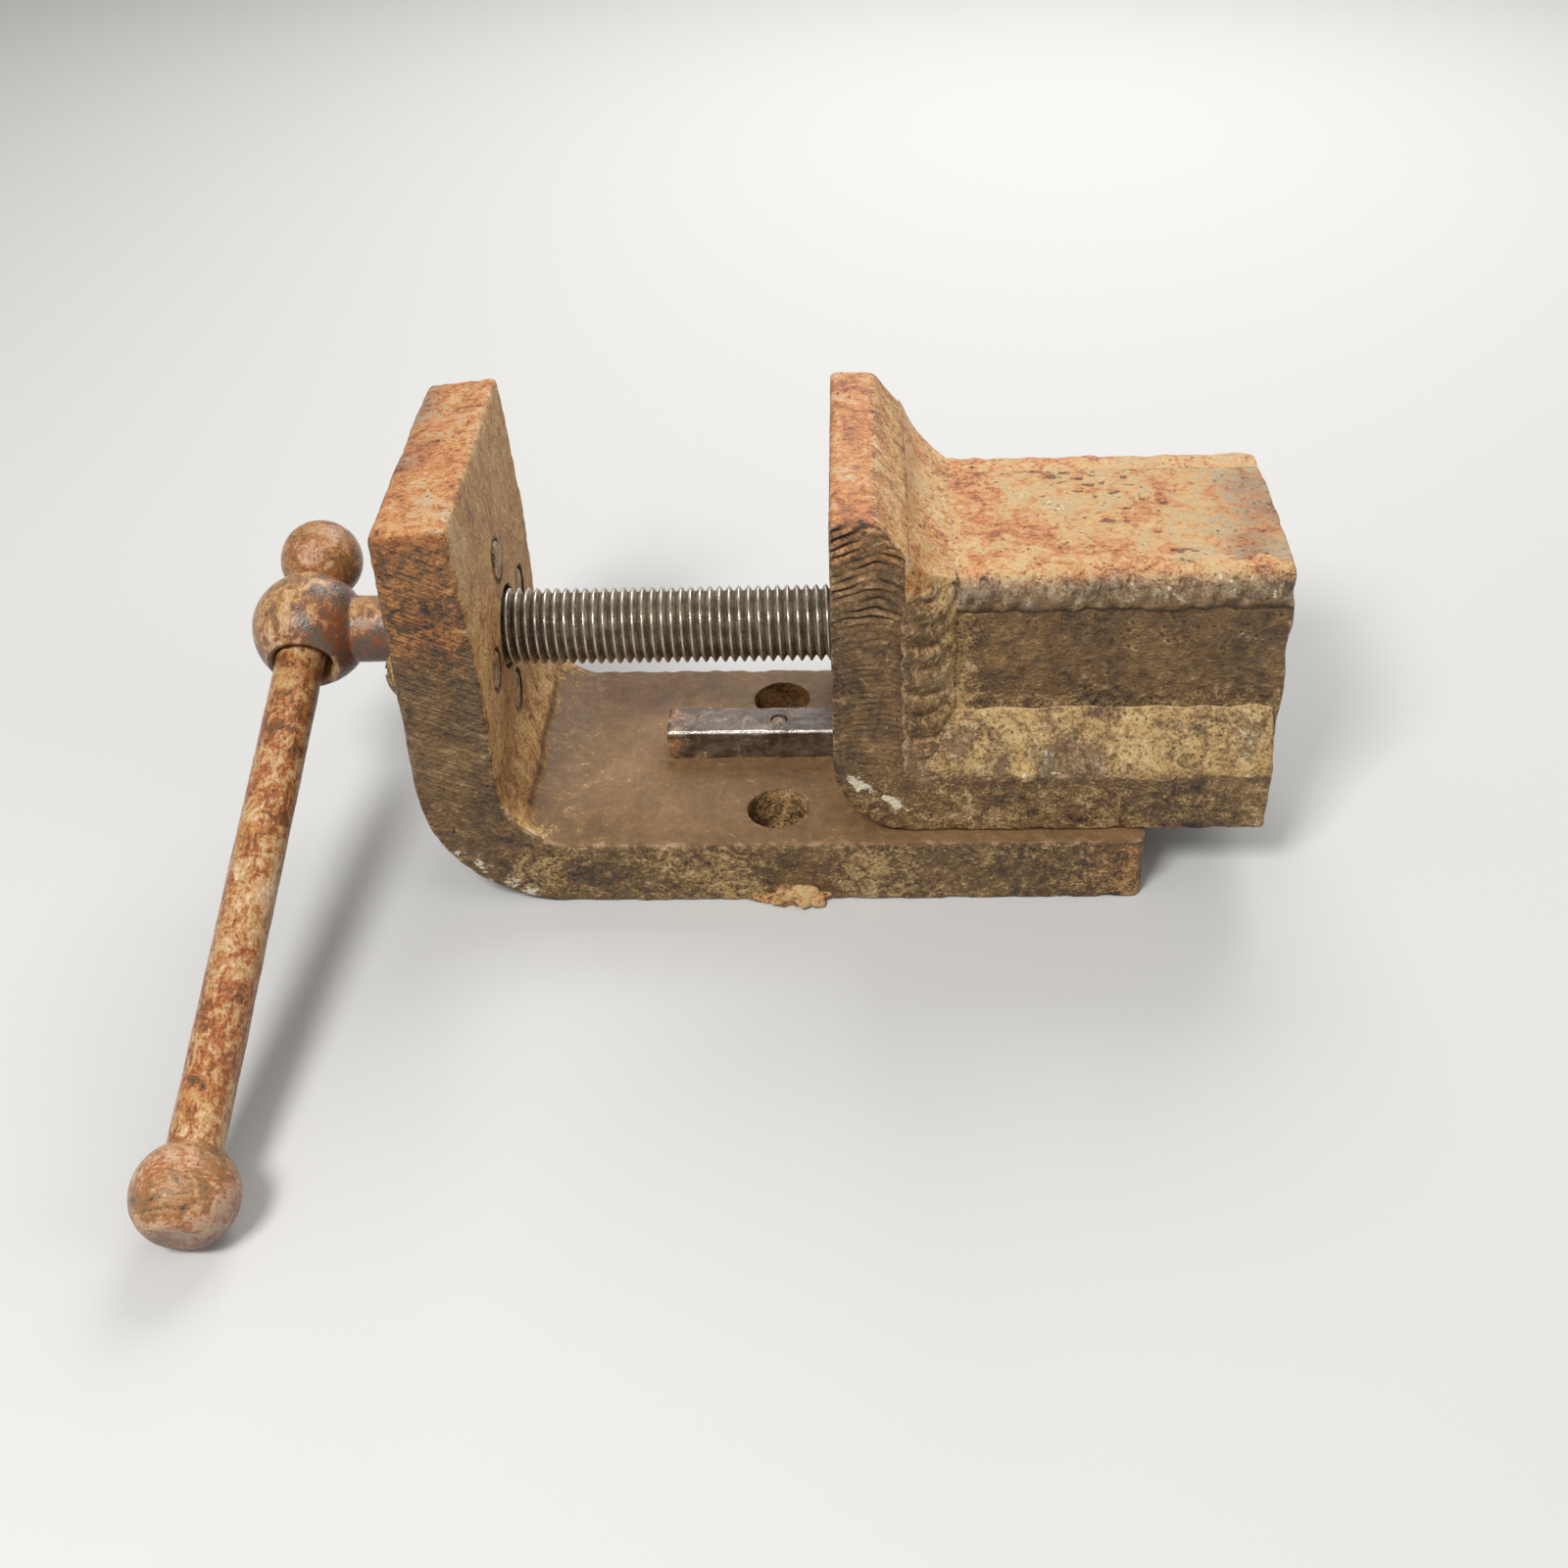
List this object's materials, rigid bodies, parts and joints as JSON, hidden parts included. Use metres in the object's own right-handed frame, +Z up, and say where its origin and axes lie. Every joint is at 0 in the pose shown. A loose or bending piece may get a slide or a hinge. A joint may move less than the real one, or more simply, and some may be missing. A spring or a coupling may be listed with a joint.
{
  "type": "drill press vise",
  "caption": "Heavy rusted steel vise: L-bent bar base with a fixed jaw, welded moving jaw on a guide key, lead screw with ball head and sliding tommy bar.",
  "frame": {"origin": "midway between the two table bolt holes, on the underside of the base", "axes": "+X along the lead screw from the handle end towards the moving jaw, +Y to the back, +Z up"},
  "size_m": [0.3351, 0.2592, 0.143],
  "materials": {
    "rusted_bar": "heavy brown and orange rust on torch-cut bar",
    "rusted_plate": "brown rust on rolled plate",
    "weld_metal": "grey-brown rippled weld with tan dust",
    "screw_steel": "dark steel with worn bright crests",
    "head_steel": "dark brown steel with orange rust patches",
    "handle_steel": "mottled rust polished by the hand",
    "key_steel": "dark grey-brown steel with a bright worn edge",
    "fastener_steel": "dark rusted steel"
  },
  "bodies": {
    "base": {"base_frame": "rusted_bar", "guide_key": "key_steel", "key_rivets": "key_steel", "keeper_plate": "rusted_plate", "keeper_screws": "fastener_steel", "tack_weld": "weld_metal"},
    "spindle": {"lead_screw": "screw_steel", "screw_head": "head_steel", "head_pin": "fastener_steel"},
    "handle": {"handle_bar": "handle_steel", "knob_long_end": "handle_steel", "knob_short_end": "handle_steel"},
    "moving_jaw": {"jaw_plate": "rusted_bar", "side_plate_front": "rusted_plate", "side_plate_rear": "rusted_plate", "top_plate": "rusted_plate", "jaw_nut": "fastener_steel", "nut_welds": "weld_metal", "corner_weld_front": "weld_metal", "corner_weld_rear": "weld_metal", "foot_weld_front": "weld_metal", "foot_weld_rear": "weld_metal", "seam_weld_front": "weld_metal", "seam_weld_rear": "weld_metal", "jaw_top_weld": "weld_metal"}
  },
  "joints": [
    {"name": "screw_turn", "type": "hinge", "parent": "base", "child": "spindle", "pos_m": [-0.1, 0, 0.077], "axis": [1, 0, 0], "range_deg": [-1260, 12132]},
    {"name": "jaw_slide", "type": "slide", "parent": "base", "child": "moving_jaw", "axis": [-1, 0, 0], "range_m": [-0.01112, 0.107]},
    {"name": "handle_slide", "type": "slide", "parent": "spindle", "child": "handle", "axis": [0.0116, 0.9501, 0.3116], "range_m": [-0.004, 0.17]}
  ],
  "couplings": [
    {"joint": "jaw_slide", "follows": "screw_turn", "m_per_rad": 0.00050532}
  ]
}
